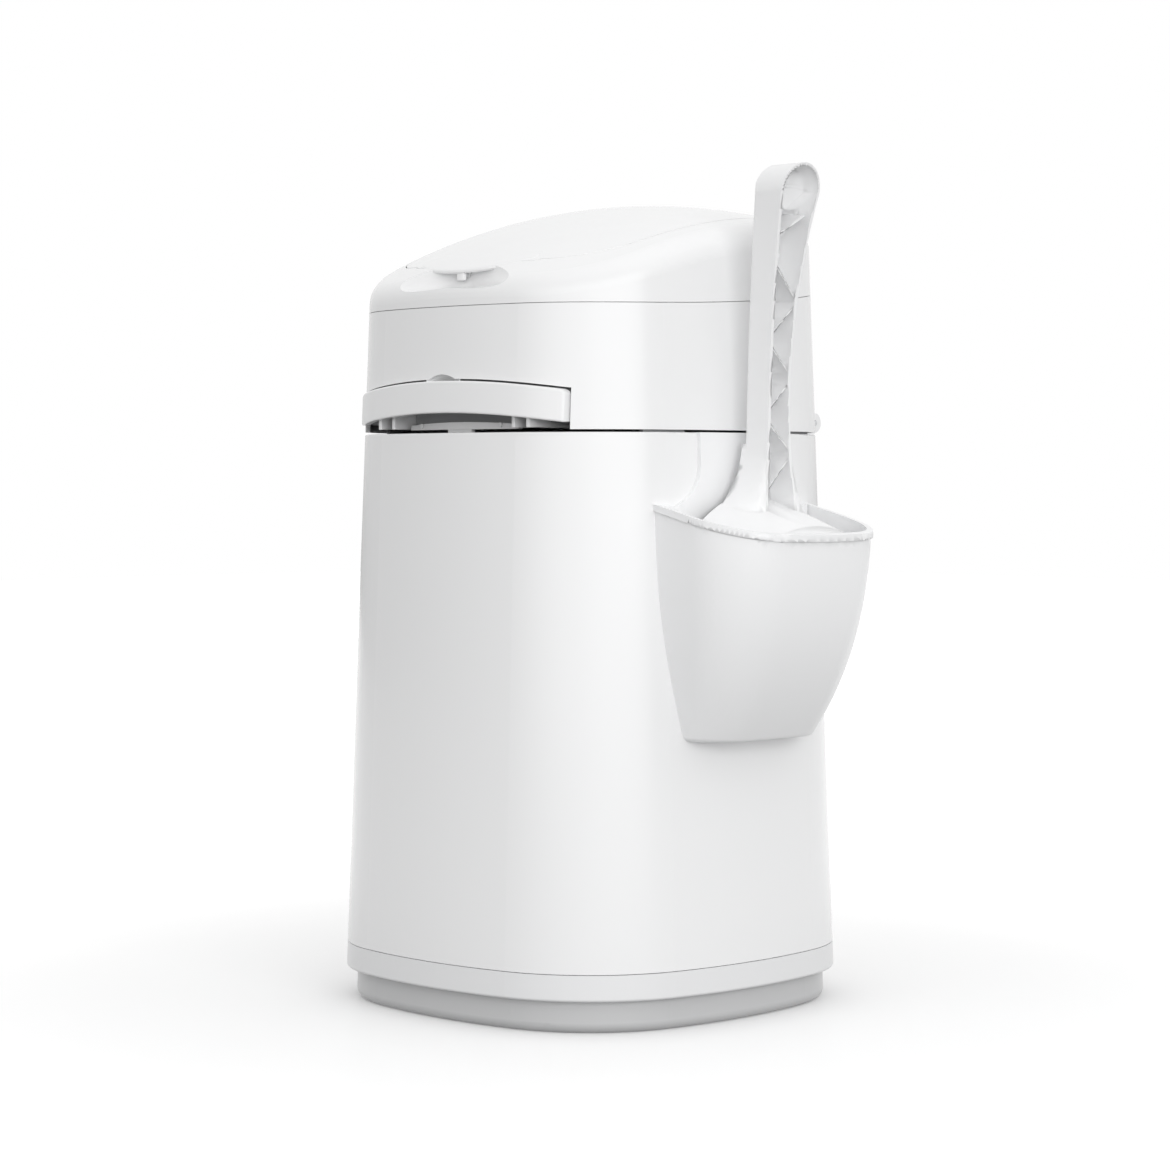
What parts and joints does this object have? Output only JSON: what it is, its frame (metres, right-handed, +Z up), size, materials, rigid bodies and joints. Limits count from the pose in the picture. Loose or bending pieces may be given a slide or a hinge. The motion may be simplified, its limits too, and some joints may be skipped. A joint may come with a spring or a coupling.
{
  "type": "litter_disposal_pail",
  "caption": "White litter disposal pail with hinged top section, pull-handle gate, flush lid, film cassette and a slotted scoop in a side pocket",
  "frame": {"origin": "centre of the base's underside, in the plane the pail stands on", "axes": "+Z up to the lid, -Y to the front with the pull handle, +X to the side that carries the scoop"},
  "size_m": [0.2886, 0.2396, 0.4386],
  "materials": {
    "shell_white": "satin",
    "holder_white": "satin",
    "scoop_white": "satin",
    "cassette_white": "satin",
    "inner_grey": "matte",
    "film_blue": "satin",
    "jaw_rubber": "matte",
    "pad_rubber": "matte",
    "pin_steel": "satin"
  },
  "bodies": {
    "lower_pail": {"base": "shell_white", "foot_pads": "pad_rubber", "lower_shell": "shell_white", "pail_hinge_pin": "pin_steel", "scoop_holder": "holder_white", "cutter_housing": "inner_grey", "cutter_blade": "pin_steel"},
    "top_section": {"upper_shell": "shell_white", "gate_frame": "inner_grey", "frame_screws": "pin_steel", "fixed_jaw": "jaw_rubber", "funnel": "inner_grey", "cassette_body": "cassette_white", "film_pack": "film_blue", "cassette_cover": "cassette_white", "top_cap": "shell_white", "lid_hinge_pin": "pin_steel", "return_spring_left": "pin_steel", "return_spring_right": "pin_steel", "latch_spring": "pin_steel"},
    "gate": {"pull_handle": "shell_white", "gate_slide": "inner_grey", "moving_jaw": "jaw_rubber", "handle_screws": "pin_steel"},
    "latch": {"latch_button": "shell_white"},
    "lid": {"lid_shell": "shell_white", "lid_liner": "inner_grey", "lid_seal": "jaw_rubber"},
    "scoop": {"scoop": "scoop_white"}
  },
  "joints": [
    {"name": "top_open", "type": "hinge", "parent": "lower_pail", "child": "top_section", "pos_m": [0, 0.11273, 0.31], "axis": [-1, 0, 0], "range_deg": [0, 90]},
    {"name": "gate_pull", "type": "slide", "parent": "top_section", "child": "gate", "axis": [0, -1, 0], "range_m": [0, 0.05], "stiffness_N_per_m": 150, "springref_m": -0.03, "deforming": ["return_spring_left", "return_spring_right"]},
    {"name": "latch_press", "type": "slide", "parent": "top_section", "child": "latch", "axis": [0, 1, 0], "range_m": [0, 0.003], "stiffness_N_per_m": 400, "springref_m": -0.003, "deforming": ["latch_spring"]},
    {"name": "lid_flip", "type": "hinge", "parent": "top_section", "child": "lid", "pos_m": [0, 0.081, 0.41986], "axis": [-1, 0, 0], "range_deg": [0, 95]},
    {"name": "scoop_lift", "type": "slide", "parent": "lower_pail", "child": "scoop", "axis": [0, 0, 1], "range_m": [0, 0.125]}
  ]
}
